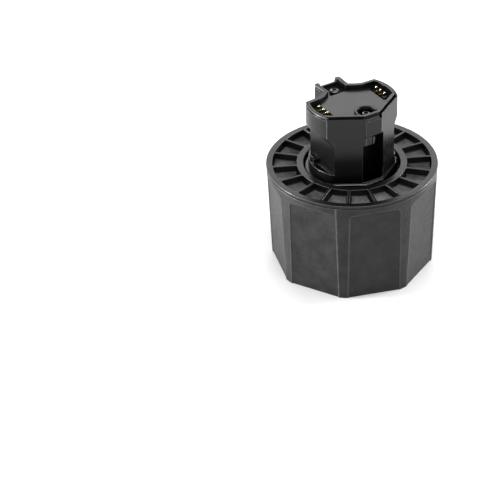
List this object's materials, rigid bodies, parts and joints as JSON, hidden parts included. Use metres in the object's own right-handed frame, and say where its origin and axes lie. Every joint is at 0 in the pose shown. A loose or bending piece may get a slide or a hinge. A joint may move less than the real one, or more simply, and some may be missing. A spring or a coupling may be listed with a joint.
{
  "type": "ring-nut connector adapter",
  "caption": "Quick-release electrical adapter: lugged post with spring contacts, plus-shaped key tube with a round multi-pin socket, and a rubber-gripped threaded ring nut.",
  "frame": {"origin": "on the ring nut's axis, in the plane of its mouth rim, which is the face the object stands on", "axes": "+Z along the axis from the mouth to the contact end of the post; the two lugs and rows of contacts lie towards +X and -X; the latch slot faces -Y"},
  "size_m": [0.072, 0.072, 0.0765],
  "materials": {
    "hard_plastic": "fine-textured black moulded plastic",
    "satin_plastic": "satin black moulded plastic",
    "dark_plastic": "plain black plastic",
    "rubber_grip": "matte, fine-grained black rubber",
    "gold_contact": "gold-plated, polished",
    "steel": "bright plated steel",
    "spring_steel": "spring steel",
    "circuit_board": "green solder mask",
    "cable_jacket": "wire bundle sleeve"
  },
  "bodies": {
    "hub": {"post_housing": "hard_plastic", "contact_deck": "satin_plastic", "contact_board": "circuit_board", "key_tube": "hard_plastic", "socket_plate": "satin_plastic", "socket_shield": "steel", "socket_insert": "dark_plastic", "socket_board": "circuit_board", "wire_harness": "cable_jacket", "wave_spring": "spring_steel", "deck_screw_front": "steel", "deck_screw_rear": "steel", "plate_screw_left": "steel", "plate_screw_right": "steel", "hub_screw_1": "steel", "hub_screw_2": "steel", "hub_screw_3": "steel", "hub_screw_4": "steel", "contact_barrel_1": "gold_contact", "contact_spring_1": "spring_steel", "contact_barrel_2": "gold_contact", "contact_spring_2": "spring_steel", "contact_barrel_3": "gold_contact", "contact_spring_3": "spring_steel", "contact_barrel_4": "gold_contact", "contact_spring_4": "spring_steel", "contact_barrel_5": "gold_contact", "contact_spring_5": "spring_steel", "contact_barrel_6": "gold_contact", "contact_spring_6": "spring_steel"},
    "washer": {"thrust_washer": "dark_plastic"},
    "ring": {"ring_nut": "hard_plastic", "grip_sleeve": "rubber_grip"},
    "contact_1": {"contact_plunger_1": "gold_contact"},
    "contact_2": {"contact_plunger_2": "gold_contact"},
    "contact_3": {"contact_plunger_3": "gold_contact"},
    "contact_4": {"contact_plunger_4": "gold_contact"},
    "contact_5": {"contact_plunger_5": "gold_contact"},
    "contact_6": {"contact_plunger_6": "gold_contact"}
  },
  "joints": [
    {"name": "ring_slide", "type": "slide", "parent": "hub", "child": "washer", "axis": [0, 0, 1], "range_m": [-0.0015, 0], "stiffness_N_per_m": 3000, "springref_m": 0.001, "deforming": ["wave_spring"]},
    {"name": "ring_spin", "type": "hinge", "parent": "washer", "child": "ring", "pos_m": [0, 0, 0.0399], "axis": [0, 0, 1], "continuous": true},
    {"name": "contact_press_1", "type": "slide", "parent": "hub", "child": "contact_1", "axis": [0, 0, 1], "range_m": [-0.0012, 0], "stiffness_N_per_m": 500, "springref_m": 0.0008, "deforming": ["contact_spring_1"]},
    {"name": "contact_press_2", "type": "slide", "parent": "hub", "child": "contact_2", "axis": [0, 0, 1], "range_m": [-0.0012, 0], "stiffness_N_per_m": 500, "springref_m": 0.0008, "deforming": ["contact_spring_2"]},
    {"name": "contact_press_3", "type": "slide", "parent": "hub", "child": "contact_3", "axis": [0, 0, 1], "range_m": [-0.0012, 0], "stiffness_N_per_m": 500, "springref_m": 0.0008, "deforming": ["contact_spring_3"]},
    {"name": "contact_press_4", "type": "slide", "parent": "hub", "child": "contact_4", "axis": [0, 0, 1], "range_m": [-0.0012, 0], "stiffness_N_per_m": 500, "springref_m": 0.0008, "deforming": ["contact_spring_4"]},
    {"name": "contact_press_5", "type": "slide", "parent": "hub", "child": "contact_5", "axis": [0, 0, 1], "range_m": [-0.0012, 0], "stiffness_N_per_m": 500, "springref_m": 0.0008, "deforming": ["contact_spring_5"]},
    {"name": "contact_press_6", "type": "slide", "parent": "hub", "child": "contact_6", "axis": [0, 0, 1], "range_m": [-0.0012, 0], "stiffness_N_per_m": 500, "springref_m": 0.0008, "deforming": ["contact_spring_6"]}
  ]
}
